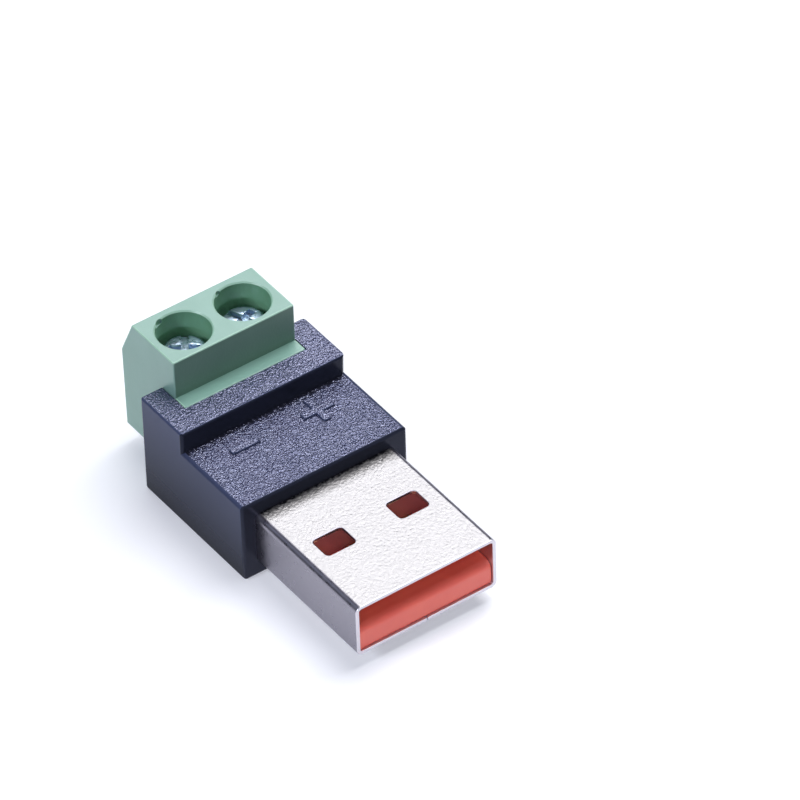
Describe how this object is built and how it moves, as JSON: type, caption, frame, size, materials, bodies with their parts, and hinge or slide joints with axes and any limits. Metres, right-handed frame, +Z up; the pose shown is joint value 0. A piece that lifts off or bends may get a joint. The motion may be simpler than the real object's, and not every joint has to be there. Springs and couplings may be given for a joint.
{
  "type": "usb plug screw terminal adapter",
  "caption": "Compact power adapter with a USB-A plug on one end and a screw terminal with rising-cage clamps on the other, in a stepped moulded body.",
  "frame": {"origin": "on the surface it rests on, under the middle of the adapter's length and width", "axes": "+X along the plug towards its mouth, +Y towards the positive pole, +Z up"},
  "size_m": [0.0296, 0.0142, 0.0119],
  "materials": {
    "black_moulding": "moulded PVC, spark-textured top and satin sides",
    "nickel_sheet": "nickel-plated folded steel, satin",
    "orange_insulator": "moulded PBT, satin",
    "gold_contact": "gold-flashed phosphor bronze",
    "green_housing": "moulded polyamide, satin",
    "tinned_brass": "tin-plated brass",
    "cage_steel": "zinc-plated folded steel",
    "zinc_screw": "blue-passivated zinc on steel",
    "solder": "soft solder"
  },
  "bodies": {
    "adapter": {"overmould_body": "black_moulding", "plug_shell": "nickel_sheet", "plug_insulator": "orange_insulator", "contact_vbus": "gold_contact", "contact_data_minus": "gold_contact", "contact_data_plus": "gold_contact", "contact_ground": "gold_contact", "terminal_housing": "green_housing", "terminal_contact_positive": "tinned_brass", "terminal_contact_negative": "tinned_brass", "solder_joint_positive": "solder", "solder_joint_negative": "solder"},
    "screw_positive": {"clamp_screw_positive": "zinc_screw"},
    "cage_positive": {"clamp_cage_positive": "cage_steel"},
    "screw_negative": {"clamp_screw_negative": "zinc_screw"},
    "cage_negative": {"clamp_cage_negative": "cage_steel"}
  },
  "joints": [
    {"name": "screw_positive_turn", "type": "hinge", "parent": "adapter", "child": "screw_positive", "pos_m": [-0.0106, 0.00254, 0.009], "axis": [0, 0, -1], "range_deg": [0, 1261]},
    {"name": "cage_positive_lift", "type": "slide", "parent": "adapter", "child": "cage_positive", "axis": [0, 0, 1], "range_m": [0, 0.00158]},
    {"name": "screw_negative_turn", "type": "hinge", "parent": "adapter", "child": "screw_negative", "pos_m": [-0.0106, -0.00254, 0.009], "axis": [0, 0, -1], "range_deg": [0, 1261]},
    {"name": "cage_negative_lift", "type": "slide", "parent": "adapter", "child": "cage_negative", "axis": [0, 0, 1], "range_m": [0, 0.00158]}
  ],
  "couplings": [
    {"joint": "screw_positive_turn", "follows": "cage_positive_lift", "rad_per_m": 13963},
    {"joint": "screw_negative_turn", "follows": "cage_negative_lift", "rad_per_m": 13963}
  ]
}
